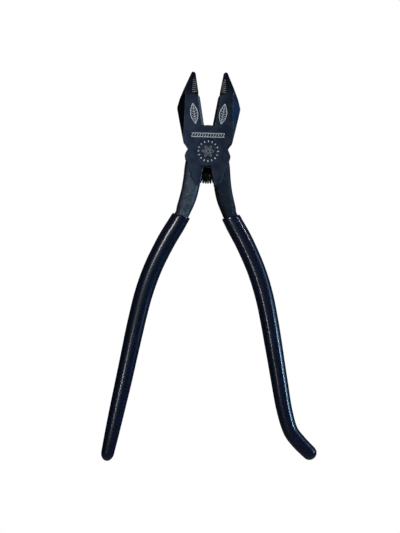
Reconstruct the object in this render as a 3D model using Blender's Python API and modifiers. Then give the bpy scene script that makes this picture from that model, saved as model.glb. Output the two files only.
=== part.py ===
"""Spring-loaded ironworker's pliers, lying flat and partly open.

Two forged halves cross in a lap joint on one flush rivet. Each half is a jaw on one side and a
handle tang on the other. A coil spring between the tangs opens them, and each tang wears a
dipped grip. One handle ends straight, the other in an outward hook.

Each half is drawn in its closed place: jaw on -X, handle on +X, the parting line on the Y axis
and the lap joint's middle plane at Z = 0. Two empties on the pivot then turn the halves apart.
In the world the pivot is the Z axis, the jaws point along +Y and the back face lies at Z = 0.
"""

import math

import bmesh
import bpy
from mathutils import Matrix, Vector

MM = 0.001

# Driving dimensions
HEAD_THICKNESS = 13.5 * MM
HALF_THICKNESS = HEAD_THICKNESS / 2
OPENING = math.radians(19.5)  # between the two halves, as they lie
GAP = 0.3 * MM  # clearance between separate pieces

DISC_RADIUS_JAW_SIDE = 13.2 * MM
DISC_RADIUS_HANDLE_SIDE = 11.5 * MM
CROTCH_Y = -10.2 * MM  # the disc's flat bottom, between the tangs
SHOULDER_ANGLE = -17  # degrees, where the opening stop clears the handle shoulder

TIP_Y = 45.6 * MM
NOSE_BREAK_Y = 32.0 * MM  # the face slopes back from here to the tip
NOSE_DROP = 2.6 * MM  # how far each face has sloped back at the tip
FLANK_UPPER = (-8.4 * MM, 32.5 * MM)  # the slanted flank's edge on the face, near the nose
FLANK_LOWER = (-12.5 * MM, 12.3 * MM)  # and near the joint
KNIFE_X = -0.15 * MM
KNIFE_START_Y = 13.7 * MM
KNIFE_END_Y = 31.8 * MM
KNIFE_LAND = 0.5 * MM  # half the flat edge left on the knife
KNIFE_CHAMFER_X = -1.55 * MM  # where each face's chamfer starts
KNIFE_CHAMFER_FOOT = (-0.45 * MM, 5.95 * MM)  # X and height where it meets the knife's flank
TOOTH_PITCH = 1.0 * MM
TOOTH_CREST_X = -0.55 * MM
TOOTH_DEPTH = 0.3 * MM
TOOTH_COUNT = 12
HANDLE_INNER_X = 0.45 * MM

RIVET_RADIUS = 4.2 * MM
RIVET_HEAD_RADIUS = 5.4 * MM
RIVET_HEAD_DEPTH = 1.4 * MM

SPRING_Y = -16.5 * MM
SPRING_WIRE_RADIUS = 0.5 * MM
SPRING_COIL_RADIUS = 3.4 * MM  # to the middle of the wire
SPRING_TURNS = 10
SPRING_STEPS_PER_TURN = 16
POCKET_RADIUS = 4.2 * MM
POCKET_DEPTH = 5.6 * MM

GRIP_WALL = 0.8 * MM
GRIP_DEPTH_RATIO = 1.06  # a grip's depth in Z over its width
GRIP_SQUARENESS = 2.5  # superellipse exponent: 2 is an oval, more is squarer
TANG_SQUARENESS = 3.6
SECTION_POINTS = 20  # round a grip or a tang
STEPS_PER_SPAN = 3  # along a centre line, between its given points

RIM_CENTRE = (7.5 * MM, -41.2 * MM)
RIM_SLANT = math.radians(6)  # of the rim, off square to the Y axis

# Grip centre line: (x, y, width) in millimetres, in the closed half, from above the rim down
GRIP_SHARED = (
    (6.5, -38.0, 10.3),
    (9.4, -46.6, 10.8),
    (13.6, -58.3, 11.0),
    (17.9, -74.3, 10.9),
    (20.3, -90.0, 10.8),
    (21.2, -106.0, 10.5),
    (21.6, -124.0, 10.1),
    (21.9, -142.0, 9.7),
    (22.3, -157.0, 9.3),
)
STRAIGHT_END = (
    (22.6, -170.0, 8.7),
    (22.9, -185.4, 7.6),
)
STRAIGHT_DOME = 5.1  # length of the rounded end past the last point
HOOKED_END = (
    (24.0, -169.6, 8.9),
    (27.9, -177.2, 8.9),
    (33.2, -184.4, 8.5),
)
HOOKED_DOME = 4.2
HOLLOW_SHORTER = 1.5  # how far the grip's hollow stops short of its end
TANG_SHORTER = 2.5  # and the tang inside it
# Bare tang from inside the head to the grip: (x, y, width, depth) in millimetres
TANG_NECK = (
    (5.9, -7.0, 10.4, 12.2),
    (5.9, -11.5, 10.9, 12.2),
    (5.6, -19.0, 10.3, 12.2),
    (5.5, -26.0, 10.1, 11.8),
    (5.95, -31.6, 9.8, 11.0),
    (6.75, -36.6, 9.1, 10.0),
)


def new_collection(name):
    collection = bpy.data.collections.new(name)
    bpy.context.scene.collection.children.link(collection)
    return collection


def clear_scene():
    for item in list(bpy.data.objects):
        bpy.data.objects.remove(item, do_unlink=True)
    for collection in list(bpy.data.collections):
        bpy.data.collections.remove(collection)


def make_material(name, colour, roughness, metallic):
    material = bpy.data.materials.new(name)
    material.use_nodes = True
    shader = material.node_tree.nodes["Principled BSDF"]
    shader.inputs["Base Color"].default_value = (*colour, 1.0)
    shader.inputs["Roughness"].default_value = roughness
    shader.inputs["Metallic"].default_value = metallic
    material.diffuse_color = (*colour, 1.0)
    return material


def link_mesh(name, mesh, collection, matrix=None):
    item = bpy.data.objects.new(name, mesh)
    collection.objects.link(item)
    if matrix is not None:
        item.matrix_world = matrix
    return item


def hide_as_cutter(item):
    item.hide_render = True
    item.display_type = "WIRE"
    return item


def shade(item, angle=35):
    item.data.shade_smooth()
    item.data.set_sharp_from_angle(angle=math.radians(angle))


def arc(radius, start, end, steps):
    """Points on a circle about the pivot, from one angle to another, in degrees."""
    angles = [math.radians(start + (end - start) * i / steps) for i in range(steps + 1)]
    return [(radius * math.cos(a), radius * math.sin(a)) for a in angles]


def curve_to_mesh(curve_object, collection):
    """Swap a curve for the closed mesh that it evaluates to, with its caps welded on."""
    bpy.context.view_layer.update()
    graph = bpy.context.evaluated_depsgraph_get()
    mesh = bpy.data.meshes.new_from_object(curve_object.evaluated_get(graph))
    work = bmesh.new()
    work.from_mesh(mesh)
    bmesh.ops.remove_doubles(work, verts=work.verts, dist=0.001 * MM)
    bmesh.ops.recalc_face_normals(work, faces=work.faces)
    work.to_mesh(mesh)
    work.free()
    name = curve_object.name
    matrix = curve_object.matrix_world.copy()
    bpy.data.objects.remove(curve_object, do_unlink=True)
    return link_mesh(name, mesh, collection, matrix)


def outline_slab(name, outline, low, high, collection):
    """A flat outline filled and extruded from one height to another."""
    curve = bpy.data.curves.new(name, "CURVE")
    curve.dimensions = "2D"
    curve.fill_mode = "BOTH"
    curve.extrude = (high - low) / 2
    spline = curve.splines.new("POLY")
    spline.points.add(len(outline) - 1)
    for point, (x, y) in zip(spline.points, outline):
        point.co = (x, y, 0.0, 1.0)
    spline.use_cyclic_u = True
    item = bpy.data.objects.new(name, curve)
    item.location.z = (low + high) / 2
    collection.objects.link(item)
    return curve_to_mesh(item, collection)


def slice_off(item, point, normal):
    """Cut away everything on the normal's side of a plane and close the cut."""
    work = bmesh.new()
    work.from_mesh(item.data)
    geometry = work.verts[:] + work.edges[:] + work.faces[:]
    result = bmesh.ops.bisect_plane(
        work,
        geom=geometry,
        dist=0.001 * MM,
        plane_co=point,
        plane_no=normal,
        clear_outer=True,
    )
    rim = [part for part in result["geom_cut"] if isinstance(part, bmesh.types.BMEdge)]
    bmesh.ops.contextual_create(work, geom=rim)
    bmesh.ops.recalc_face_normals(work, faces=work.faces)
    work.to_mesh(item.data)
    work.free()


def boolean(item, other, operation):
    modifier = item.modifiers.new(f"{operation.lower()}_{other.name}", "BOOLEAN")
    modifier.operation = operation
    modifier.solver = "EXACT"
    modifier.object = other


def smooth_path(points, steps):
    """Points of any width on a Catmull-Rom curve through the given ones, a few per span."""
    padded = [points[0], *points, points[-1]]
    path = []
    for i in range(1, len(padded) - 2):
        before, start, end, after = padded[i - 1 : i + 3]
        for step in range(steps):
            t = step / steps
            path.append(
                tuple(
                    0.5 * (2 * b + (c - a) * t + (2 * a - 5 * b + 4 * c - d) * t * t
                           + (3 * b - a - 3 * c + d) * t**3)
                    for a, b, c, d in zip(before, start, end, after)
                )
            )
    path.append(tuple(points[-1]))
    return path


def superellipse(exponent, ratio, count):
    """A rounded section half a unit wide either way, and ratio times as deep."""
    points = []
    for i in range(count):
        angle = 2 * math.pi * (i + 0.5) / count
        c, s = math.cos(angle), math.sin(angle)
        x = math.copysign(abs(c) ** (2 / exponent), c) / 2
        y = math.copysign(abs(s) ** (2 / exponent), s) / 2 * ratio
        points.append((x, y))
    return points


def rounded_end(path, length):
    """Add stations past the path's end that close it in a half oval of the given length."""
    x, y, width = path[-1][:3]
    back_x, back_y = path[-2][:2]
    run = math.hypot(x - back_x, y - back_y)
    along = ((x - back_x) / run, (y - back_y) / run)
    dome = []
    for angle in (25, 45, 62, 76, 86):
        forward = length * math.sin(math.radians(angle))
        narrow = math.cos(math.radians(angle))
        dome.append((x + along[0] * forward, y + along[1] * forward, width * narrow))
    return path + dome


def swept_grip_form(name, path, inset, collection):
    """A curve along the grip's centre line with a rounded section, thinner by inset a side."""
    section_curve = bpy.data.curves.new(name + "_section", "CURVE")
    section_curve.dimensions = "2D"
    section = section_curve.splines.new("POLY")
    outline = superellipse(GRIP_SQUARENESS, GRIP_DEPTH_RATIO, SECTION_POINTS)
    section.points.add(len(outline) - 1)
    for point, (x, y) in zip(section.points, outline):
        point.co = (x, y, 0.0, 1.0)
    section.use_cyclic_u = True
    section_object = bpy.data.objects.new(name + "_section", section_curve)
    collection.objects.link(section_object)

    curve = bpy.data.curves.new(name, "CURVE")
    curve.dimensions = "3D"
    curve.twist_mode = "Z_UP"
    curve.bevel_mode = "OBJECT"
    curve.bevel_object = section_object
    curve.use_fill_caps = True
    spline = curve.splines.new("POLY")
    spline.points.add(len(path) - 1)
    for point, (x, y, width) in zip(spline.points, path):
        point.co = (x * MM, y * MM, 0.0, 1.0)
        point.radius = max(width * MM - 2 * inset, 0.05 * MM)
    item = bpy.data.objects.new(name, curve)
    collection.objects.link(item)
    form = curve_to_mesh(item, collection)
    bpy.data.objects.remove(section_object, do_unlink=True)
    return form


def grip_path(end_points):
    return smooth_path(GRIP_SHARED + end_points, STEPS_PER_SPAN)


def make_grip(name, end_points, end_length, material, collection, cutters):
    """A dipped sleeve, open at the rim, closed and rounded at the handle's end."""
    path = grip_path(end_points)
    grip = swept_grip_form(name, rounded_end(path, end_length), 0.0, collection)
    rim_normal = Vector((-math.sin(RIM_SLANT), math.cos(RIM_SLANT), 0))
    slice_off(grip, Vector((*RIM_CENTRE, 0)), rim_normal)
    hollow_path = rounded_end(path, end_length - HOLLOW_SHORTER)
    hollow = swept_grip_form(name + "_hollow", hollow_path, GRIP_WALL, cutters)
    boolean(grip, hide_as_cutter(hollow), "DIFFERENCE")
    grip.data.materials.append(material)
    shade(grip)
    return grip


def make_tang(name, end_points, end_length, collection):
    """Loft from the tall forged neck to the slimmer bar inside the grip."""
    inset = (GRIP_WALL + GAP) / MM
    hidden = [
        (x, y, width - 2 * inset, (width - 2 * inset) * GRIP_DEPTH_RATIO)
        for x, y, width in rounded_end(grip_path(end_points)[1:], end_length - TANG_SHORTER)[:-1]
    ]
    neck = smooth_path(TANG_NECK, STEPS_PER_SPAN)
    stations = neck + hidden
    count = SECTION_POINTS
    work = bmesh.new()
    rings = []
    for i, (x, y, width, depth) in enumerate(stations):
        before = stations[max(i - 1, 0)]
        after = stations[min(i + 1, len(stations) - 1)]
        heading = Vector((after[0] - before[0], after[1] - before[1], 0)).normalized()
        across = Vector((-heading.y, heading.x, 0))
        # the section eases from squarish at the neck to the grip's own form
        ease = min(max((i - len(neck)) / STEPS_PER_SPAN + 1, 0), 1)
        exponent = TANG_SQUARENESS + (GRIP_SQUARENESS - TANG_SQUARENESS) * ease
        ring = []
        for u, v in superellipse(exponent, 1.0, count):
            place = Vector((x, y, 0)) + across * (u * width) + Vector((0, 0, v * depth))
            ring.append(work.verts.new(place * MM))
        rings.append(ring)
    for ring, following in zip(rings, rings[1:]):
        for i in range(count):
            j = (i + 1) % count
            work.faces.new((ring[i], ring[j], following[j], following[i]))
    work.faces.new(rings[0])
    work.faces.new(rings[-1])
    bmesh.ops.recalc_face_normals(work, faces=work.faces)
    mesh = bpy.data.meshes.new(name)
    work.to_mesh(mesh)
    work.free()
    return link_mesh(name, mesh, collection)


def head_outline():
    """Jaw, joint disc and handle shoulder as one outline, anticlockwise from the jaw's tip."""
    tip = [(-1.3, 45.3), (-2.2, 45.6), (-2.9, 45.2)]
    flank = [(-12.1, 30.9), (-14.2, 26.4), (-14.3, 25.4), (-14.1, 19.0), (-13.5, 6.0)]
    notch = [(-12.4, 4.0), (-11.5, 1.8)]
    outline = [(x * MM, y * MM) for x, y in tip + flank + notch]
    crotch_angle = math.degrees(math.asin(CROTCH_Y / DISC_RADIUS_HANDLE_SIDE))
    outline += arc(DISC_RADIUS_HANDLE_SIDE, 174, 180 - crotch_angle, 12)
    outline.append((HANDLE_INNER_X, CROTCH_Y))
    tongue = [(2.4, -22.0), (4.0, -21.3), (5.0, -19.7), (7.3, -15.5), (10.1, -10.3), (11.9, -8.2)]
    shoulder = [(12.4, -6.8), (12.3, -5.6), (11.6, -2.8), (11.5, -2.1)]
    outline.append((HANDLE_INNER_X, -22.0 * MM))
    outline += [(x * MM, y * MM) for x, y in tongue + shoulder]
    top = math.degrees(math.acos(KNIFE_X / DISC_RADIUS_JAW_SIDE))
    outline += arc(DISC_RADIUS_JAW_SIDE, 0, top, 22)
    outline += [(KNIFE_X, 30.5 * MM), (-1.2 * MM, 31.4 * MM), (-1.2 * MM, 32.2 * MM)]
    return outline + teeth()


def teeth():
    """The gripping face's fine saw teeth, from the knife up to the tip."""
    start_y = TIP_Y - 0.9 * MM - TOOTH_COUNT * TOOTH_PITCH
    points = []
    for i in range(TOOTH_COUNT):
        y = start_y + i * TOOTH_PITCH
        points.append((TOOTH_CREST_X - TOOTH_DEPTH, y))
        points.append((TOOTH_CREST_X, y + TOOTH_PITCH / 2))
    return points


def cut_head_faces(head):
    """Slope the nose back to the tip and slant the jaw's outer corners, front and back."""
    for side in (1, -1):
        nose_fall = math.atan2(NOSE_DROP, TIP_Y - NOSE_BREAK_Y)
        nose_normal = Vector((0, math.sin(nose_fall), side * math.cos(nose_fall)))
        slice_off(head, Vector((0, NOSE_BREAK_Y, side * HALF_THICKNESS)), nose_normal)
        # the slanted flank meets the face along a line from high and inward to low and outward
        upper = Vector((*FLANK_UPPER, 0))
        lower = Vector((*FLANK_LOWER, 0))
        outward = (upper - lower).cross(Vector((0, 0, 1))).normalized()
        if outward.x > 0:
            outward = -outward
        slant = (outward + Vector((0, 0, side))).normalized()
        slice_off(head, upper + Vector((0, 0, side * HALF_THICKNESS)), slant)


def socket_cutter(name, cutters):
    """The round space in the back layer that the other half's disc turns in."""
    jaw_side = arc(DISC_RADIUS_JAW_SIDE + GAP, SHOULDER_ANGLE, 200, 56)
    handle_side = arc(DISC_RADIUS_HANDLE_SIDE + GAP, 200, 360 + SHOULDER_ANGLE, 28)
    low = -HALF_THICKNESS - 1 * MM
    return hide_as_cutter(outline_slab(name, jaw_side + handle_side, low, GAP / 2, cutters))


def knife_cutter(name, side, cutters):
    """A long wedge that grinds the knife's steep flank and its chamfer on one face."""
    foot_x, foot_z = KNIFE_CHAMFER_FOOT
    reach = HALF_THICKNESS + 1 * MM
    far_x = foot_x + (KNIFE_CHAMFER_X - foot_x) * (reach - foot_z) / (HALF_THICKNESS - foot_z)
    # drawn in X and Z, then stood up along Y
    outline = [(KNIFE_X, side * KNIFE_LAND), (foot_x, side * foot_z), (far_x, side * reach),
               (2 * MM, side * reach), (2 * MM, side * KNIFE_LAND)]
    wedge = outline_slab(name, outline, KNIFE_START_Y, KNIFE_END_Y, cutters)
    # local X, Y, Z become world X, Z, Y
    turn = Matrix(((1, 0, 0, 0), (0, 0, 1, 0), (0, 1, 0, 0), (0, 0, 0, 1)))
    wedge.data.transform(turn @ wedge.matrix_world)
    wedge.matrix_world = Matrix.Identity(4)
    wedge.data.flip_normals()
    return hide_as_cutter(wedge)


def pocket_cutter(name, cutters):
    """The blind round pocket in the tang's inner side that seats the spring."""
    length = POCKET_DEPTH + 3 * MM
    bpy.ops.mesh.primitive_cylinder_add(
        vertices=32,
        radius=POCKET_RADIUS,
        depth=length,
        location=(HANDLE_INNER_X + POCKET_DEPTH - length / 2, SPRING_Y, 0),
        rotation=(0, math.pi / 2, 0),
    )
    return adopt(bpy.context.object, name, cutters)


def adopt(item, name, cutters):
    item.name = name
    for collection in list(item.users_collection):
        collection.objects.unlink(item)
    cutters.objects.link(item)
    return hide_as_cutter(item)


def turned_rivet(name, grow, collection):
    """The rivet's turned profile, swept round the pivot; grow widens it for its hole."""
    half = HALF_THICKNESS + grow
    neck = HALF_THICKNESS - RIVET_HEAD_DEPTH
    head, shank = RIVET_HEAD_RADIUS + grow, RIVET_RADIUS + grow
    profile = [(0, half), (head, half), (shank, neck), (shank, -neck), (head, -half), (0, -half)]
    mesh = bpy.data.meshes.new(name)
    edges = [(i, i + 1) for i in range(len(profile) - 1)]
    mesh.from_pydata([(x, 0, z) for x, z in profile], edges, [])
    item = link_mesh(name, mesh, collection)
    screw = item.modifiers.new("turned", "SCREW")
    screw.steps = 48
    screw.render_steps = 48
    screw.use_merge_vertices = True
    screw.merge_threshold = 0.00001
    return item


def make_half(name, end_points, end_length, material, collection, cutters):
    half = outline_slab(name, head_outline(), -HALF_THICKNESS, HALF_THICKNESS, collection)
    cut_head_faces(half)
    tang = make_tang(name + "_tang", end_points, end_length, cutters)
    boolean(half, hide_as_cutter(tang), "UNION")
    boolean(half, socket_cutter(name + "_socket", cutters), "DIFFERENCE")
    boolean(half, knife_cutter(name + "_knife_front", 1, cutters), "DIFFERENCE")
    boolean(half, knife_cutter(name + "_knife_back", -1, cutters), "DIFFERENCE")
    boolean(half, pocket_cutter(name + "_pocket", cutters), "DIFFERENCE")
    hole = hide_as_cutter(turned_rivet(name + "_rivet_hole", GAP, cutters))
    boolean(half, hole, "DIFFERENCE")
    half.data.materials.append(material)
    shade(half)
    return half


def spring_axis(distance):
    """A point and heading on the spring's centre line: an arc about the pivot, then straight."""
    radius = -SPRING_Y
    half_turn = OPENING / 2
    swept = distance / radius
    angle = min(max(swept, -half_turn), half_turn)
    heading = Vector((math.cos(angle), math.sin(angle), 0))
    point = Vector((radius * math.sin(angle), -radius * math.cos(angle), 0))
    return point + heading * (swept - angle) * radius, heading


def make_spring(name, material, collection):
    """A wire coil from the floor of one pocket to the floor of the other."""
    straight = HANDLE_INNER_X + POCKET_DEPTH - GAP - SPRING_WIRE_RADIUS
    half_length = straight - SPRING_Y * OPENING / 2
    total = SPRING_TURNS * SPRING_STEPS_PER_TURN
    curve = bpy.data.curves.new(name, "CURVE")
    curve.dimensions = "3D"
    curve.bevel_depth = SPRING_WIRE_RADIUS
    curve.bevel_resolution = 2
    curve.use_fill_caps = True
    spline = curve.splines.new("POLY")
    spline.points.add(total)
    for i in range(total + 1):
        centre, heading = spring_axis(half_length * (2 * i / total - 1))
        turn = 2 * math.pi * i / SPRING_STEPS_PER_TURN
        across = Vector((-heading.y, heading.x, 0))
        radial = across * math.cos(turn) + Vector((0, 0, math.sin(turn)))
        place = centre + radial * SPRING_COIL_RADIUS
        spline.points[i].co = (*place, 1.0)
    item = bpy.data.objects.new(name, curve)
    collection.objects.link(item)
    spring = curve_to_mesh(item, collection)
    spring.data.materials.append(material)
    shade(spring, 60)
    return spring


def make_pivot(name, rotation, collection):
    pivot = bpy.data.objects.new(name, None)
    pivot.location = (0, 0, HALF_THICKNESS)
    pivot.rotation_euler = rotation
    collection.objects.link(pivot)
    return pivot


def parent_all(pivot, items):
    for item in items:
        item.parent = pivot


def main():
    clear_scene()
    pliers = new_collection("ironworker_pliers")
    cutters = new_collection("cutters")
    blackened = make_material("blackened_forging", (0.012, 0.014, 0.020), 0.38, 0.85)
    dipped = make_material("dipped_grip", (0.006, 0.008, 0.016), 0.16, 0.0)
    spring_steel = make_material("spring_steel", (0.20, 0.20, 0.20), 0.35, 1.0)

    front = make_pivot("front_pivot", (0, 0, OPENING / 2), pliers)
    back = make_pivot("back_pivot", (0, math.pi, -OPENING / 2), pliers)
    middle = make_pivot("joint_middle", (0, 0, 0), pliers)

    front_half = make_half("front_half", HOOKED_END, HOOKED_DOME, blackened, pliers, cutters)
    hooked_grip = make_grip("hooked_grip", HOOKED_END, HOOKED_DOME, dipped, pliers, cutters)
    back_half = make_half("back_half", STRAIGHT_END, STRAIGHT_DOME, blackened, pliers, cutters)
    straight_grip = make_grip("straight_grip", STRAIGHT_END, STRAIGHT_DOME, dipped, pliers, cutters)

    rivet = turned_rivet("pivot_rivet", 0.0, pliers)
    rivet.data.materials.append(blackened)
    spring = make_spring("return_spring", spring_steel, pliers)

    front_cutters = [item for item in cutters.objects if item.name.startswith(("front", "hooked"))]
    back_cutters = [item for item in cutters.objects if item.name.startswith(("back", "straight"))]
    parent_all(front, [front_half, hooked_grip, *front_cutters])
    parent_all(back, [back_half, straight_grip, *back_cutters])
    parent_all(middle, [rivet, spring])


main()
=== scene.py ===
"""Ironworker's pliers lying flat, half open: two blackened forgings, a flush rivet, a coil
return spring, two dipped grips and an etched ornament on the head."""

import math

import bmesh
import bpy
import numpy as np
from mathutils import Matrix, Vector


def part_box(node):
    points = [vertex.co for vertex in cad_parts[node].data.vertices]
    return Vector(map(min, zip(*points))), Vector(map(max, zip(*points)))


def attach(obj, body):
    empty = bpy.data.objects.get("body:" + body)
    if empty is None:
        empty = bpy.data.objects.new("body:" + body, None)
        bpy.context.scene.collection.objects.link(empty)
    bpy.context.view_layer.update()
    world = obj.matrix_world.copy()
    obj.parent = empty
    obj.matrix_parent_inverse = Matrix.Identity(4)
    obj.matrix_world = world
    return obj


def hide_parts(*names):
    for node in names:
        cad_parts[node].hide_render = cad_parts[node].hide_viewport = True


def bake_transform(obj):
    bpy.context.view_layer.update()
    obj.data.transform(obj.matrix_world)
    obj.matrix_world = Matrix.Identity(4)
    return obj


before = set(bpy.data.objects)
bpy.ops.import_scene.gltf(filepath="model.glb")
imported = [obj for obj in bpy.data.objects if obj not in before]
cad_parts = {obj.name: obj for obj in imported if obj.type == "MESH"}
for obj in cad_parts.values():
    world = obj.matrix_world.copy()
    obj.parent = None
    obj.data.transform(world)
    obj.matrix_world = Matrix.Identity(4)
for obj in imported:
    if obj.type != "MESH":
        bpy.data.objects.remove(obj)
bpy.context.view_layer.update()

MM = 0.001

# ------------------------------------------------------------------ the two forged halves
# Each half is one drop forging, jaw to handle end, with its flat faces ground after forging and
# the whole blackened in an oxide bath. The bath leaves a blue-black satin skin that rubs through
# to grey on the corners. The tangs keep the rougher skin of the forging die.


def new_group(name, inputs, outputs):
    """A shader node group: inputs are name to default number, outputs are names."""
    tree = bpy.data.node_groups.new(name, "ShaderNodeTree")
    for label, value in inputs.items():
        socket = tree.interface.new_socket(label, in_out="INPUT", socket_type="NodeSocketFloat")
        socket.default_value = value
    for label in outputs:
        tree.interface.new_socket(label, in_out="OUTPUT", socket_type="NodeSocketFloat")
    return tree, tree.nodes.new("NodeGroupInput"), tree.nodes.new("NodeGroupOutput")


def place(tree, kind, links=None, **settings):
    """Add a node, set its properties, then feed or fill its inputs by name or number."""
    node = tree.nodes.new(kind)
    for key, value in settings.items():
        setattr(node, key, value)
    for key, value in (links or {}).items():
        if isinstance(value, bpy.types.NodeSocket):
            tree.links.new(value, node.inputs[key])
        else:
            node.inputs[key].default_value = value
    return node


def math_node(tree, operation, *values):
    """One Math node's result."""
    links = dict(enumerate(values))
    return place(tree, "ShaderNodeMath", links, operation=operation).outputs[0]


def noise(tree, place_from, scale, detail=2.0, roughness=0.5):
    """One Noise Texture's value at a vector."""
    links = {"Vector": place_from, "Scale": scale, "Detail": detail, "Roughness": roughness}
    return place(tree, "ShaderNodeTexNoise", links).outputs[0]


def ramp(tree, value, low, high):
    """A value stretched so that low becomes 0 and high becomes 1, held inside those."""
    links = {"Value": value, "From Min": low, "From Max": high}
    return place(tree, "ShaderNodeMapRange", links, interpolation_type="SMOOTHSTEP").outputs[0]


def make_rubbed_skin():
    """Patches where the black skin has rubbed off: the Amount is roughly the share that is bare."""
    tree, given, result = new_group("rubbed_skin", {"Amount": 0.1, "Grain": 900.0}, ["Bare"])
    where = place(tree, "ShaderNodeTexCoord").outputs["Object"]
    patch = noise(tree, where, given.outputs["Grain"], 4.0, 0.62)
    start = math_node(tree, "MULTIPLY_ADD", given.outputs["Amount"], -0.34, 0.68)
    end = math_node(tree, "ADD", start, 0.10)
    tree.links.new(ramp(tree, patch, start, end), result.inputs["Bare"])
    return tree


def make_die_skin():
    """Scale pits and soft lumps that a forging die leaves."""
    tree, given, result = new_group("die_skin", {"Lumps": 420.0, "Pits": 2600.0}, ["Height", "Shade"])
    where = place(tree, "ShaderNodeTexCoord").outputs["Object"]
    lumps = noise(tree, where, given.outputs["Lumps"], 3.0, 0.55)
    pits = noise(tree, where, given.outputs["Pits"], 2.0, 0.6)
    deep = ramp(tree, pits, 0.62, 0.4)
    height = math_node(tree, "ADD", math_node(tree, "MULTIPLY", lumps, 1.6), deep)
    tree.links.new(height, result.inputs["Height"])
    shade = math_node(tree, "MULTIPLY", lumps, math_node(tree, "ADD", deep, 0.6))
    tree.links.new(shade, result.inputs["Shade"])
    return tree


def make_grinding():
    """Fine straight scratches that a surface grinder leaves along the tool's length."""
    tree, given, result = new_group("grinding", {"Lines": 9000.0}, ["Height"])
    where = place(tree, "ShaderNodeTexCoord").outputs["Object"]
    stretched = place(tree, "ShaderNodeMapping", {"Vector": where, "Scale": (1.0, 0.06, 1.0)})
    lines = noise(tree, stretched.outputs[0], given.outputs["Lines"], 2.0, 0.7)
    tree.links.new(lines, result.inputs["Height"])
    return tree


rubbed_skin = make_rubbed_skin()
die_skin = make_die_skin()
grinding = make_grinding()

FACE_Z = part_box("pivot_rivet")[1][2]  # the head's front face
TANG_TOP_Y = -8.0 * MM  # below this the sides keep the die's skin


def mixed(tree, share, first, second):
    """Two colours, each a socket or three numbers, mixed by a share."""
    pair = [c if isinstance(c, bpy.types.NodeSocket) else (*c, 1) for c in (first, second)]
    return place(tree, "ShaderNodeMix", {0: share, 6: pair[0], 7: pair[1]}, data_type="RGBA").outputs[2]


def blackened_forging(name, ground, forged, bare, bare_share):
    """Blackened steel: ground on the head and the flat faces, die skin on the tang. ground and
    forged are each a dark and a light tone; bare is the steel under the skin."""
    material = bpy.data.materials.new(name)
    material.use_nodes = True
    tree = material.node_tree
    shader = tree.nodes["Principled BSDF"]
    where = place(tree, "ShaderNodeTexCoord").outputs["Object"]
    split = place(tree, "ShaderNodeSeparateXYZ", {0: where})
    # 1 on the tang's own surfaces, 0 on the head and on the ground tongue beside the crotch
    below = ramp(tree, split.outputs[1], TANG_TOP_Y, TANG_TOP_Y - 3 * MM)
    height = math_node(tree, "ABSOLUTE", math_node(tree, "SUBTRACT", split.outputs[2], FACE_Z / 2))
    sunk = ramp(tree, height, FACE_Z / 2 - 0.05 * MM, FACE_Z / 2 - 0.35 * MM)
    on_tang = math_node(tree, "MULTIPLY", below, sunk)

    skin = place(tree, "ShaderNodeGroup", node_tree=die_skin)
    scratches = place(tree, "ShaderNodeGroup", node_tree=grinding)
    rubbed = place(tree, "ShaderNodeGroup", {"Amount": bare_share, "Grain": 1100.0}, node_tree=rubbed_skin)

    cloud = ramp(tree, noise(tree, where, 160.0, 4.0, 0.6), 0.3, 0.75)
    colour = mixed(tree, on_tang, mixed(tree, cloud, *ground), mixed(tree, skin.outputs["Shade"], *forged))
    colour = mixed(tree, rubbed.outputs[0], colour, bare)
    tree.links.new(colour, shader.inputs["Base Color"])

    satin = math_node(tree, "MULTIPLY_ADD", cloud, 0.10, 0.32)
    dull = math_node(tree, "MULTIPLY_ADD", skin.outputs["Shade"], 0.12, 0.40)
    gloss = place(tree, "ShaderNodeMix", {0: on_tang, 2: satin, 3: dull}, data_type="FLOAT").outputs[0]
    tree.links.new(gloss, shader.inputs["Roughness"])

    fine = place(tree, "ShaderNodeBump", {"Strength": 0.10, "Distance": 0.02 * MM,
                                          "Height": scratches.outputs[0]})
    skin_height = math_node(tree, "MULTIPLY", skin.outputs["Height"], on_tang)
    bump = place(tree, "ShaderNodeBump", {"Strength": 0.55, "Distance": 0.12 * MM,
                                          "Height": skin_height, "Normal": fine.outputs[0]})
    tree.links.new(bump.outputs[0], shader.inputs["Normal"])
    shader.inputs["Metallic"].default_value = 0.9
    return material


JAW_CORNER = 0.28 * MM  # radius that breaks each hard corner
KNIFE_BAND = (-1.7 * MM, 0.4 * MM)  # across the knife, in a closed half
KNIFE_REACH = (13.0 * MM, 32.0 * MM)  # and along it
HALF_OPENING = math.radians(9.75)
# each half's disc and the socket it turns in, as solid and as lapped together to a hair's gap
SEAM_FIT = {13.2 * MM: 13.33 * MM, 13.5 * MM: 13.38 * MM, 11.5 * MM: 11.63 * MM, 11.8 * MM: 11.68 * MM}
SEAM_CORNER = 0.12  # share of the usual corner radius that the lapped seam keeps


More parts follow.
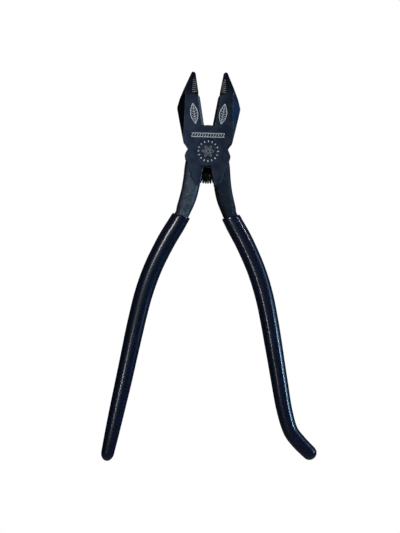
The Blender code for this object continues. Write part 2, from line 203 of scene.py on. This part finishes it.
def finished_forging(node, name, side, materials):
    """The half's solid with its triangles merged and each hard corner broken by a small radius.
    materials are the skin, the rubbed corners and the ground knife. A corner's radius shrinks
    with the shortest edge beside it, so that no two radii run into each other."""
    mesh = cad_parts[node].data.copy()
    work = bmesh.new()
    work.from_mesh(mesh)
    bmesh.ops.remove_doubles(work, verts=work.verts, dist=0.002 * MM)
    bmesh.ops.dissolve_limit(work, angle_limit=math.radians(0.6), verts=work.verts, edges=work.edges)
    seam = set()
    for corner in work.verts:
        radius = math.hypot(corner.co.x, corner.co.y)
        for solid_radius, fitted_radius in SEAM_FIT.items():
            if abs(radius - solid_radius) < 0.05 * MM:
                corner.co.xy *= fitted_radius / radius
                seam.add(corner)
    bmesh.ops.triangulate(work, faces=[f for f in work.faces if len(f.verts) > 60], ngon_method="EAR_CLIP")
    weight = work.edges.layers.float.new("bevel_weight_edge")
    for edge in work.edges:
        if edge.calc_face_angle(0) > math.radians(25):
            beside = min(e.calc_length() for v in edge.verts for e in v.link_edges)
            widest = SEAM_CORNER if seam.issuperset(edge.verts) else 1.0
            edge[weight] = min(widest, 0.4 * beside / JAW_CORNER)
    turn = HALF_OPENING * side
    for face in work.faces:
        middle = face.calc_center_median()
        across = (middle.x * math.cos(turn) + middle.y * math.sin(turn)) * side
        along = middle.y * math.cos(turn) - middle.x * math.sin(turn)
        on_knife = KNIFE_BAND[0] < across < KNIFE_BAND[1] and KNIFE_REACH[0] < along < KNIFE_REACH[1]
        face.material_index = 2 if on_knife and abs(face.normal.z) < 0.95 else 0
        face.smooth = True
    mesh.materials.clear()
    for material in materials:
        mesh.materials.append(material)
    work.to_mesh(mesh)
    work.free()
    half = bpy.data.objects.new(name, mesh)
    bpy.context.scene.collection.objects.link(half)
    corners = half.modifiers.new("broken_corners", "BEVEL")
    corners.width = JAW_CORNER
    corners.segments = 3
    corners.limit_method = "WEIGHT"
    corners.use_clamp_overlap = False
    corners.material = 1
    flats = half.modifiers.new("flat_faces_stay_flat", "WEIGHTED_NORMAL")
    flats.mode = "FACE_AREA"
    flats.weight = 90
    return half


DARK_BLUE = (0.006, 0.011, 0.024)
GREY_BLUE = (0.018, 0.026, 0.044)
WORN_GREY = (0.045, 0.055, 0.07)
GROUND_STEEL = (0.055, 0.06, 0.07)
DARK_FORGED = ((0.004, 0.007, 0.012), (0.024, 0.032, 0.046))
# painted sheen: the back half's tang skin is painted much paler than the front half's, standing in for the
# lamp's sheen on that tang's broad face
SHEEN_PAINTED_FORGED = ((0.006, 0.010, 0.016), (0.12, 0.145, 0.185))
forging_looks = {
    "front": [(DARK_BLUE, GREY_BLUE), DARK_FORGED],
    "back": [(DARK_BLUE, GREY_BLUE), SHEEN_PAINTED_FORGED],
}
front_steel = blackened_forging("front_blackened", *forging_looks["front"], WORN_GREY, 0.06)
for node, name, side, body in (
    ("front_half", "front_forging", 1, "front"),
    ("back_half", "back_forging", -1, "back"),
):
    skin = blackened_forging(body + "_skin", *forging_looks[body], WORN_GREY, 0.06)
    corner = blackened_forging(body + "_corners", *forging_looks[body], WORN_GREY, 0.75)
    knife = blackened_forging(body + "_knife", *forging_looks[body], GROUND_STEEL, 0.80)
    half = finished_forging(node, name, side, [skin, corner, knife])
    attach(half, body)
    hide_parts(node)

# ------------------------------------------------------------------ the rivet
# A steel rivet, set hot through both halves and then ground flush with the faces and blackened
# along with them, so only a fine ring shows where it ends.


def grid_mesh(name, grids):
    """A mesh from grids of points, each (rings, around, 3): each ring is joined to the next and
    each end is closed on a point at its own middle. A grid that comes out inside out is turned."""
    corners, faces, count = [], [], 0
    for points in grids:
        rings, around = points.shape[:2]
        i, j = np.meshgrid(np.arange(rings - 1), np.arange(around), indexing="ij")
        k = (j + 1) % around
        quads = np.stack([i * around + j, i * around + k, (i + 1) * around + k, (i + 1) * around + j], -1)
        j = np.arange(around)
        k = (j + 1) % around
        first, last = rings * around, rings * around + 1
        base = first - around
        caps = np.concatenate([np.stack([np.full(around, first), k, j], -1),
                               np.stack([np.full(around, last), base + j, base + k], -1)])
        vertices = np.vstack([points.reshape(-1, 3), points[[0, -1]].mean(axis=1)])
        sheet = quads.reshape(-1, 4)
        a, b, c, d = (vertices[sheet[:, n]] - vertices[0] for n in range(4))
        volume = np.sum(a * np.cross(b, c)) + np.sum(a * np.cross(c, d))
        if volume < 0:
            sheet, caps = sheet[:, ::-1], caps[:, ::-1]
        faces += (sheet + count).tolist() + (caps + count).tolist()
        corners.append(vertices)
        count += len(vertices)
    mesh = bpy.data.meshes.new(name)
    mesh.from_pydata(np.vstack(corners).tolist(), [], faces)
    mesh.shade_smooth()
    mesh.set_sharp_from_angle(angle=math.radians(50))
    return mesh


def link_piece(name, mesh, material, body, node=None):
    """Put a finished mesh in the scene, on its body."""
    mesh.materials.append(material)
    piece = bpy.data.objects.new(name, mesh)
    bpy.context.scene.collection.objects.link(piece)
    if body:
        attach(piece, body)
    if node:
        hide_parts(node)
    return piece


def turned(profile, around):
    """A profile of (radius, height) rows swept round the Z axis."""
    angle = np.linspace(0, 2 * np.pi, around, endpoint=False)
    radius, height = profile[:, 0:1], profile[:, 1:2]
    return np.stack([radius * np.cos(angle), radius * np.sin(angle),
                     np.broadcast_to(height, (len(profile), around))], -1)


RIVET_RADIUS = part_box("pivot_rivet")[1][0]
rim = RIVET_RADIUS / MM
# (radius, height) in millimetres, from the flat end over the rim and in to the shank
half_profile = np.array([
    (0.5, 0.0), (2.5, 0.0), (rim - 0.4, 0.0), (rim - 0.16, 0.0), (rim - 0.03, 0.06),
    (rim - 0.06, 0.2), (rim - 0.5, 0.7), (rim - 1.15, 1.4), (rim - 1.2, 2.5),
]) * MM
lower = half_profile.copy()
upper = half_profile[::-1].copy()
upper[:, 1] = FACE_Z - upper[:, 1]
rivet_mesh = grid_mesh("rivet", [turned(np.vstack([lower, upper]), 96)])
link_piece("flush_rivet", rivet_mesh, front_steel, "front", "pivot_rivet")

# ------------------------------------------------------------------ the etched ornament
# A laser lifts the black skin off in thin lines: a plain leaf on each jaw, a corded band across
# the joint, a ring and a rosette on the rivet, and bars on each nose. The lifted metal stands a
# hair proud of the face.

LINE_HEIGHT = 0.02 * MM
NOSE_BREAK_Y = 32.0 * MM
NOSE_SLOPE = 2.6 / 13.6


def curve_through(points, samples):
    """A Catmull-Rom curve through the points, evenly sampled by its own parameter."""
    knots = np.vstack([points[:1], points, points[-1:]])
    t = np.linspace(0, len(points) - 1, samples)
    i = np.minimum(t.astype(int), len(points) - 2)
    t = (t - i)[:, None]
    a, b, c, d = knots[i], knots[i + 1], knots[i + 2], knots[i + 3]
    return 0.5 * (2 * b + (c - a) * t + (2 * a - 5 * b + 4 * c - d) * t**2 + (3 * b - a - 3 * c + d) * t**3)


def onto_half(points, side):
    """From a closed half's own place to where it lies: side 1 is the front half, whose handle is
    on +X; side -1 is the back half, turned over about the Y axis."""
    turn = HALF_OPENING * side
    x, y = points[..., 0] * side, points[..., 1]
    return np.stack([x * math.cos(turn) - y * math.sin(turn), x * math.sin(turn) + y * math.cos(turn),
                     points[..., 2] * side + FACE_Z / 2], -1)


def ribbon(line, width):
    """A flat strip along a plane line: point + width u N, with (u, height) running round a low
    box whose top is a little narrower than its foot. line and width are in millimetres."""
    line = np.asarray(line, float) * MM
    width = np.broadcast_to(np.asarray(width, float) * MM, len(line))
    ahead = np.gradient(line, axis=0)
    ahead /= np.linalg.norm(ahead, axis=1, keepdims=True) + 1e-12
    normal = np.stack([-ahead[:, 1], ahead[:, 0]], -1)
    across = np.array([-0.5, -0.42, 0.42, 0.5])
    height = np.array([-1.0, 1.0, 1.0, -1.0]) * LINE_HEIGHT
    flat = line[:, None] + normal[:, None] * (width[:, None] * across)[..., None]
    return np.concatenate([flat, np.broadcast_to(height[:, None], (*flat.shape[:2], 1))], -1)


def on_head(strip):
    """A strip laid on the joint's front face."""
    return strip + np.array([0.0, 0.0, FACE_Z])


def on_jaw(strip, side):
    """A strip drawn on a closed jaw, with x measured outwards from the parting line, laid on the
    half's front face where it slopes back along the nose."""
    laid = strip.copy()
    laid[..., 0] = -strip[..., 0]
    fall = np.maximum(strip[..., 1] - NOSE_BREAK_Y, 0) * NOSE_SLOPE
    laid[..., 2] = (FACE_Z / 2 - fall + strip[..., 2]) * side
    return onto_half(laid, side)


def straight(start, end, count=4):
    """Points on a straight line."""
    return np.linspace(start, end, count)


def etched(name, shine, tone):
    """Bare frosted steel where the laser has lifted the skin, with specks of black left in it."""
    material = bpy.data.materials.new(name)
    material.use_nodes = True
    tree = material.node_tree
    shader = tree.nodes["Principled BSDF"]
    rubbed = place(tree, "ShaderNodeGroup", {"Amount": shine, "Grain": 2600.0}, node_tree=rubbed_skin)
    colour = mixed(tree, rubbed.outputs[0], tuple(0.35 * c for c in tone), tone)
    tree.links.new(colour, shader.inputs["Base Color"])
    gloss = math_node(tree, "MULTIPLY_ADD", rubbed.outputs[0], 0.1, 0.45)
    tree.links.new(gloss, shader.inputs["Roughness"])
    shader.inputs["Metallic"].default_value = 0.9
    return material


bright_etch = etched("bright_etch", 0.85, (0.80, 0.84, 0.86))
grey_etch = etched("grey_etch", 0.65, (0.42, 0.42, 0.41))

# the ornament's own sizes are in millimetres
LEAF_FOOT = 15.0  # where each jaw's leaf starts, up the closed jaw
LEAF_LENGTH = 12.0
LEAF_WIDTH = 4.2
LEAF_MIDDLE = 4.9  # its midrib's distance from the parting line
VEIN_RISE = 1.1  # how far each vein climbs from midrib to tip
EDGE_LINE, MIDRIB_LINE, VEIN_LINE = 0.34, 0.26, 0.22  # widths


def leaf():
    """One jaw's leaf: two sides that swell from foot to tip as half a sine, a straight midrib and
    evenly spaced pairs of veins."""
    t = np.linspace(0.0, 1.0, 40)
    half = LEAF_WIDTH / 2 * np.sin(np.pi * t)
    up = LEAF_FOOT + LEAF_LENGTH * t
    strips = [ribbon(np.stack([LEAF_MIDDLE + side * half, up], -1), EDGE_LINE) for side in (1, -1)]
    strips.append(ribbon(straight((LEAF_MIDDLE, up[0]), (LEAF_MIDDLE, up[-1]), 5), MIDRIB_LINE))
    for share in np.linspace(0.2, 0.7, 5):
        foot = LEAF_FOOT + LEAF_LENGTH * share
        reach = 0.8 * LEAF_WIDTH / 2 * math.sin(math.pi * share)
        for side in (1, -1):
            tip = (LEAF_MIDDLE + side * reach, foot + VEIN_RISE)
            strips.append(ribbon(straight((LEAF_MIDDLE, foot), tip), VEIN_LINE))
    return strips


BAND_HALF_LENGTH = 9.6
BAND_LEVELS = (6.4, 8.6)
CORD_COUNT = 13
CORD_SLANT = 1.0  # how far each cord leans along the band


def corded_band():
    """A straight level band across the disc: two lines with evenly slanting cords between them."""
    low, high = BAND_LEVELS
    strips = [ribbon(straight((-BAND_HALF_LENGTH, level), (BAND_HALF_LENGTH, level), 9), 0.30)
              for level in BAND_LEVELS]
    for x in np.linspace(-BAND_HALF_LENGTH, BAND_HALF_LENGTH - CORD_SLANT, CORD_COUNT):
        strips.append(ribbon(straight((x, low), (x + CORD_SLANT, high)), 0.26))
    return strips


MARK_CENTRE = np.array([0.25, -1.8])  # of the ring and the rosette
RING_REACH = (5.1, 6.3)  # of each lozenge, from that centre


def ring_mark(angle):
    """One lozenge of the ring; all are alike."""
    spoke = np.array([math.cos(angle), math.sin(angle)])
    line = straight(spoke * RING_REACH[0], spoke * RING_REACH[1], 7) + MARK_CENTRE
    return ribbon(line, 0.10 + 0.62 * np.sin(np.linspace(0, np.pi, 7)))


def petal(angle):
    """One petal's outline on the rosette: a radius that goes out and back as a sine while the
    angle sweeps a sixth of a turn."""
    t = np.linspace(0.02, np.pi - 0.02, 20)
    reach = 0.5 + 2.9 * np.sin(t)
    swept = angle + (t / np.pi - 0.5) * 0.9
    return ribbon(np.stack([reach * np.cos(swept), reach * np.sin(swept)], -1) + MARK_CENTRE, 0.30)


rosette = [petal(angle) for angle in np.linspace(0, 2 * np.pi, 7)[:-1]]
ring = [ring_mark(angle) for angle in np.linspace(0, 2 * np.pi, 17)[:-1] + np.pi / 2]

BARS_Y = (33.6, 40.8)  # the lowest and the highest bar on a closed nose
BAR_REACH = (1.4, 4.2)  # of the lowest bar; each bar above ends closer in, as the nose tapers
BAR_TAPER = 0.2
nose_bars = [ribbon(straight((BAR_REACH[0], y), (BAR_REACH[1] - BAR_TAPER * (y - BARS_Y[0]), y)), 0.5)
             for y in np.linspace(*BARS_Y, 7)]

for name, strips, material, body in (
    ("etched_left_leaf", [on_jaw(s, 1) for s in leaf()], bright_etch, "front"),
    ("etched_right_leaf", [on_jaw(s, -1) for s in leaf()], bright_etch, "back"),
    ("etched_band", [on_head(s) for s in corded_band()], bright_etch, "front"),
    ("etched_rivet_ring", [on_head(s) for s in ring], bright_etch, "front"),
    ("etched_rosette", [on_head(s) for s in rosette], grey_etch, "front"),
    ("etched_left_nose", [on_jaw(s, 1) for s in nose_bars], grey_etch, "front"),
    ("etched_right_nose", [on_jaw(s, -1) for s in nose_bars], grey_etch, "back"),
):
    link_piece(name, grid_mesh(name, strips), material, body)

# ------------------------------------------------------------------ the return spring
# A coil of bare drawn wire, about ten turns, pressed into a round pocket in each tang. It opens the
# handles, and is built bent between them at this one opening.

SPRING_AXIS_Y = 16.5 * MM  # distance from the pivot
SPRING_TURNS = 10
WIRE_RADIUS = 0.5 * MM
COIL_RADIUS = (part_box("return_spring")[1][2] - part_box("return_spring")[0][2]) / 2 - WIRE_RADIUS


def tube(path, radius, around):
    """Rings of one radius, each square to the path: ring = point + radius (cos a N + sin a B)."""
    ahead = np.gradient(path, axis=0)
    ahead /= np.linalg.norm(ahead, axis=1, keepdims=True)
    side = np.cross(ahead, (0.0, 0.0, 1.0))
    flat = np.linalg.norm(side, axis=1) < 1e-6
    side[flat] = (1.0, 0.0, 0.0)
    side /= np.linalg.norm(side, axis=1, keepdims=True)
    upright = np.cross(side, ahead)
    angle = np.linspace(0, 2 * np.pi, around, endpoint=False)
    spread = np.cos(angle)[None, :, None] * side[:, None] + np.sin(angle)[None, :, None] * upright[:, None]
    return path[:, None] + radius * spread


def coil_path(samples):
    """A helix round an axis that is an arc about the pivot between the tangs and straight inside each
    pocket; its turns lie a little closer in the middle than at the ends."""
    half_length = -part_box("return_spring")[0][0] - WIRE_RADIUS
    t = np.linspace(-1, 1, samples)
    closed = t - 0.09 * np.sin(np.pi * t)
    swept = closed * half_length / SPRING_AXIS_Y
    bend = np.clip(swept, -HALF_OPENING, HALF_OPENING)
    heading = np.stack([np.cos(bend), np.sin(bend), 0 * bend], -1)
    centre = SPRING_AXIS_Y * np.stack([np.sin(bend), -np.cos(bend), 0 * bend], -1)
    centre += heading * ((swept - bend) * SPRING_AXIS_Y)[:, None]
    centre[:, 2] += FACE_Z / 2
    turn = 2 * np.pi * SPRING_TURNS * (t + 1) / 2
    across = np.stack([-heading[:, 1], heading[:, 0], 0 * bend], -1)
    radial = across * np.cos(turn)[:, None] + np.sin(turn)[:, None] * np.array([0.0, 0.0, 1.0])
    return centre + radial * COIL_RADIUS


def drawn_wire():
    """Bright drawn wire with a little dark oil."""
    material = bpy.data.materials.new("drawn_wire")
    material.use_nodes = True
    tree = material.node_tree
    shader = tree.nodes["Principled BSDF"]
    where = place(tree, "ShaderNodeTexCoord").outputs["Object"]
    oil = ramp(tree, noise(tree, where, 700.0, 3.0), 0.36, 0.56)
    colour = place(tree, "ShaderNodeMix", {0: oil, 6: (0.20, 0.20, 0.20, 1), 7: (0.012, 0.012, 0.014, 1)},
                   data_type="RGBA").outputs[2]
    tree.links.new(colour, shader.inputs["Base Color"])
    tree.links.new(math_node(tree, "MULTIPLY_ADD", oil, 0.18, 0.24), shader.inputs["Roughness"])
    shader.inputs["Metallic"].default_value = 1.0
    return material


coil = tube(coil_path(SPRING_TURNS * 40), WIRE_RADIUS, 12)
spring_piece = link_piece("coil_spring", grid_mesh("coil", [coil]), drawn_wire(), None,
                          "return_spring")
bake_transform(spring_piece)

# ------------------------------------------------------------------ the dipped grips
# The handles are dipped hot into blue-black vinyl, which cures into a thick glossy sleeve: thin
# and square at the rim, slightly wavy along its length, round at the end.

GRIP_WALL = 0.8 * MM
GRIP_DEPTH_RATIO = 1.06
GRIP_SQUARENESS = 2.5
RIM_SLANT = math.radians(6)
RIM_DISTANCE = 3.4 * MM  # of the rim from the path's start
# centre line (x, y, width) in a closed half, in millimetres, as in the solid model
GRIP_SHARED = [
    (6.5, -38.0, 10.3), (9.4, -46.6, 10.8), (13.6, -58.3, 11.0), (17.9, -74.3, 10.9),
    (20.3, -90.0, 10.8), (21.2, -106.0, 10.5), (21.6, -124.0, 10.1), (21.9, -142.0, 9.7),
    (22.3, -157.0, 9.3),
]
STRAIGHT_END = [(22.6, -170.0, 8.7), (22.9, -185.4, 7.6)]
HOOKED_END = [(24.0, -169.6, 8.9), (27.9, -177.2, 8.9), (33.2, -184.4, 8.5)]


def sleeve(points, end_length, samples=300, around=56):
    """The grip's wall as one closed surface: from the hollow's end up the inside to the rim, over
    it and down the outside to the rounded tip. Each ring is a superellipse square to the path,
    except near the rim, where its plane eases to the rim's slant."""
    line = curve_through(np.array(points), samples) * MM
    centre, width = line[:, :2], line[:, 2]
    step = np.linalg.norm(np.diff(centre, axis=0), axis=1)
    along = np.concatenate([[0], np.cumsum(step)])
    heading = np.gradient(centre, axis=0)
    angle = np.unwrap(np.arctan2(heading[:, 1], heading[:, 0]))

    def rings(distance, inset, shrink):
        """Rings at distances along the path, thinner by inset a side and scaled by shrink."""
        extra = np.maximum(distance - along[-1], 0)
        x = np.interp(distance, along, centre[:, 0]) + extra * np.cos(angle[-1])
        y = np.interp(distance, along, centre[:, 1]) + extra * np.sin(angle[-1])
        turn = np.interp(distance, along, angle)
        ease = np.clip((distance - RIM_DISTANCE) / (9 * MM), 0, 1)
        rim_angle = -math.pi / 2 + RIM_SLANT
        turn = rim_angle + (turn - rim_angle) * (ease * ease * (3 - 2 * ease))
        size = (np.interp(distance, along, width) - 2 * inset) * shrink
        # the dip's slow waves and the bead that surface tension leaves behind the rim
        bead = 0.10 * MM * np.exp(-((distance - RIM_DISTANCE - 1.4 * MM) / (1.1 * MM)) ** 2)
        wave = 0.035 * MM * np.sin(distance / (7.3 * MM)) * np.sin(distance / (19 * MM) + 1)
        size = size + np.where(inset < GRIP_WALL / 2, 2 * (bead + wave) * shrink, 0)
        a = 2 * np.pi * (np.arange(around) + 0.5) / around
        u = np.sign(np.cos(a)) * np.abs(np.cos(a)) ** (2 / GRIP_SQUARENESS) / 2
        v = np.sign(np.sin(a)) * np.abs(np.sin(a)) ** (2 / GRIP_SQUARENESS) / 2 * GRIP_DEPTH_RATIO
        px = x[:, None] - np.sin(turn)[:, None] * u * size[:, None]
        py = y[:, None] + np.cos(turn)[:, None] * u * size[:, None]
        return np.stack([px, py, v * size[:, None]], -1)

    def dome(length, count):
        """Distances and shrinks that close an end as a half oval."""
        a = np.linspace(0, np.pi / 2, count + 1)[1:] * 0.985
        return along[-1] + length * np.sin(a), np.cos(a)

    body = np.linspace(RIM_DISTANCE, along[-1], samples)
    end_out, shrink_out = dome(end_length * MM, 18)
    end_in, shrink_in = dome((end_length - 1.5) * MM, 8)
    inner_s = np.concatenate([end_in[::-1], body[::-1][::3], [RIM_DISTANCE]])
    inner_k = np.concatenate([shrink_in[::-1], np.ones(len(body[::3]) + 1)])
    inner = rings(inner_s, np.full(len(inner_s), GRIP_WALL), inner_k)
    # the rim rolls over in a quarter round on its outer edge
    roll = np.linspace(0, np.pi / 2, 6)
    radius = 0.35 * MM
    rim = rings(RIM_DISTANCE + radius * (1 - np.cos(roll)), radius * (1 - np.sin(roll)), np.ones(6))
    outer_s = np.concatenate([body[body > RIM_DISTANCE + radius * 1.2], end_out])
    outer_k = np.concatenate([np.ones(np.sum(body > RIM_DISTANCE + radius * 1.2)), shrink_out])
    outer = rings(outer_s, np.zeros(len(outer_s)), outer_k)
    return np.concatenate([inner, rim, outer])


def dipped_vinyl(name, tint):
    """Glossy vinyl with a fine speckle under the surface: tint is two deep tones and the fleck's."""
    material = bpy.data.materials.new(name)
    material.use_nodes = True
    tree = material.node_tree
    shader = tree.nodes["Principled BSDF"]
    where = place(tree, "ShaderNodeTexCoord").outputs["Object"]
    fleck = ramp(tree, noise(tree, where, 1700.0, 2.0, 0.6), 0.42, 0.68)
    cloud = ramp(tree, noise(tree, where, 90.0, 3.0), 0.3, 0.7)
    deep = place(tree, "ShaderNodeMix", {0: cloud, 6: (*tint[0], 1), 7: (*tint[1], 1)},
                 data_type="RGBA").outputs[2]
    colour = place(tree, "ShaderNodeMix", {0: math_node(tree, "MULTIPLY", fleck, 0.6), 6: deep,
                                           7: (*tint[2], 1)}, data_type="RGBA").outputs[2]
    tree.links.new(colour, shader.inputs["Base Color"])
    gloss = math_node(tree, "MULTIPLY_ADD", fleck, 0.05, 0.19)
    tree.links.new(gloss, shader.inputs["Roughness"])
    shader.inputs["Specular IOR Level"].default_value = 0.40
    return material


VINYL_TINTS = ((0.0005, 0.0016, 0.008), (0.001, 0.0045, 0.020), (0.012, 0.022, 0.056))
vinyl = dipped_vinyl("dipped_vinyl", VINYL_TINTS)
for node, name, end, length, side, body in (
    ("hooked_grip", "hooked_sleeve", HOOKED_END, 4.2, 1, "front"),
    ("straight_grip", "straight_sleeve", STRAIGHT_END, 5.1, -1, "back"),
):
    rings = onto_half(sleeve(GRIP_SHARED + end, length), side)
    link_piece(name, grid_mesh(name, [rings]), vinyl, body, node)

# ------------------------------------------------------------------ floor, light and camera


SHADE_REACH = 14 * MM  # how close the walls must stand for the floor's painted shade
SHADE_RANGE = (0.13, 0.165)  # openness at which the floor's painted shade is black, and at which it is white
FLOOR_DROP = 0.2 * MM  # of the sheet below the tool


def pale_floor():
    """A white sheet that glows evenly, with painted shade: its glow is dimmed to black where the tool walls
    it in.
    """
    material = bpy.data.materials.new("pale_floor")
    material.use_nodes = True
    tree = material.node_tree
    tree.nodes.remove(tree.nodes["Principled BSDF"])
    # painted shade: the glow's strength follows ambient occlusion, so the floor is painted dark in the
    # crotch between the tangs
    walled = place(tree, "ShaderNodeAmbientOcclusion", {"Distance": SHADE_REACH}, samples=64)
    light = ramp(tree, walled.outputs["AO"], *SHADE_RANGE)
    glow = place(tree, "ShaderNodeEmission", {"Color": (1, 1, 1, 1), "Strength": light})
    tree.links.new(glow.outputs[0], tree.nodes["Material Output"].inputs["Surface"])
    bpy.ops.mesh.primitive_plane_add(size=8.0, location=(0, 0, -FLOOR_DROP))
    floor = bpy.context.object
    floor.name = "floor"
    floor.data.materials.append(material)
    floor.visible_diffuse = False
    floor.visible_glossy = False


def soft_box(name, place_at, size, radiance, colour):
    """A rectangular light aimed at the middle of the tool: size is its width along the floor and
    its height; radiance is its brightness, whatever its size."""
    light = bpy.data.lights.new(name, "AREA")
    light.shape = "RECTANGLE"
    light.size, light.size_y = size
    light.energy = radiance * math.pi * size[0] * size[1]
    light.color = colour
    lamp = bpy.data.objects.new(name, light)
    bpy.context.scene.collection.objects.link(lamp)
    lamp.visible_camera = False
    lamp.location = place_at
    aim = np.array([0.0, -0.07, 0.0]) - np.array(place_at)
    flat = math.hypot(aim[0], aim[1])
    lamp.rotation_euler = (math.atan2(flat, -aim[2]), 0, math.atan2(aim[1], aim[0]) - math.pi / 2)


pale_floor()
soft_box("left_strip_far", (-0.205, 0.08, 0.895), (0.09, 0.022), 250, (0.95, 0.98, 1.0))
soft_box("left_strip_near", (-0.23, -0.22, 0.895), (0.07, 0.016), 135, (0.95, 0.98, 1.0))
soft_box("right_strip_far", (0.54, 0.27, 0.27), (0.10, 0.02), 100, (0.90, 0.95, 1.0))
soft_box("right_strip_near", (0.635, -0.085, 0.35), (0.13, 0.04), 120, (0.50, 0.80, 1.0))
soft_box("right_window", (0.75, -0.02, 0.14), (0.6, 0.30), 3.2, (0.30, 0.60, 1.0))
soft_box("overhead", (-0.24, 0.15, 0.88), (0.44, 0.46), 0.19, (0.85, 0.92, 1.0))

# the room is white to look at; in reflections it is dim, with a soft glow high on the left and
# paler walls beyond the tips and beyond the grips
GLOW_FROM = (-0.30, 0.08, 0.95)
GLOW_STRENGTH = 0.12
ROOM_STRENGTH = 0.02
WALL_STRENGTH = 0.30
world = bpy.data.worlds.new("studio")
world.use_nodes = True
room = world.node_tree
towards = place(room, "ShaderNodeTexCoord").outputs["Generated"]
facing = place(room, "ShaderNodeVectorMath", {0: towards, 1: GLOW_FROM}, operation="DOT_PRODUCT")
glow = math_node(room, "POWER", math_node(room, "MAXIMUM", facing.outputs["Value"], 0.0), 5.0)
walls = math_node(room, "POWER", place(room, "ShaderNodeSeparateXYZ", {0: towards}).outputs[1], 2.0)
strength = math_node(room, "MULTIPLY_ADD", glow, GLOW_STRENGTH, ROOM_STRENGTH)
strength = math_node(room, "MULTIPLY_ADD", walls, WALL_STRENGTH, strength)
soft = room.nodes["Background"]
soft.inputs["Color"].default_value = (0.92, 0.97, 1.0, 1)
room.links.new(strength, soft.inputs["Strength"])
white = place(room, "ShaderNodeBackground", {"Color": (1, 1, 1, 1), "Strength": 1.0})
seen = place(room, "ShaderNodeLightPath").outputs["Is Camera Ray"]
both = place(room, "ShaderNodeMixShader", {0: seen, 1: soft.outputs[0], 2: white.outputs[0]})
room.links.new(both.outputs[0], room.nodes["World Output"].inputs["Surface"])
bpy.context.scene.world = world
bpy.context.scene.view_settings.view_transform = "Standard"

FIELD_HEIGHT = 311.9 * MM  # what the frame takes in at the tool's middle plane
TILT = math.radians(1.45)  # the tool lies slightly turned in the frame
camera_data = bpy.data.cameras.new("camera")
camera_data.sensor_fit = "VERTICAL"
camera_data.sensor_height = 24
camera_data.lens = 60
camera = bpy.data.objects.new("camera", camera_data)
bpy.context.scene.collection.objects.link(camera)
distance = FIELD_HEIGHT * camera_data.lens / camera_data.sensor_height
camera.location = (-2.77 * MM, -68.85 * MM, FACE_Z / 2 + distance)
camera.rotation_euler = (0, 0, TILT)
bpy.context.scene.camera = camera
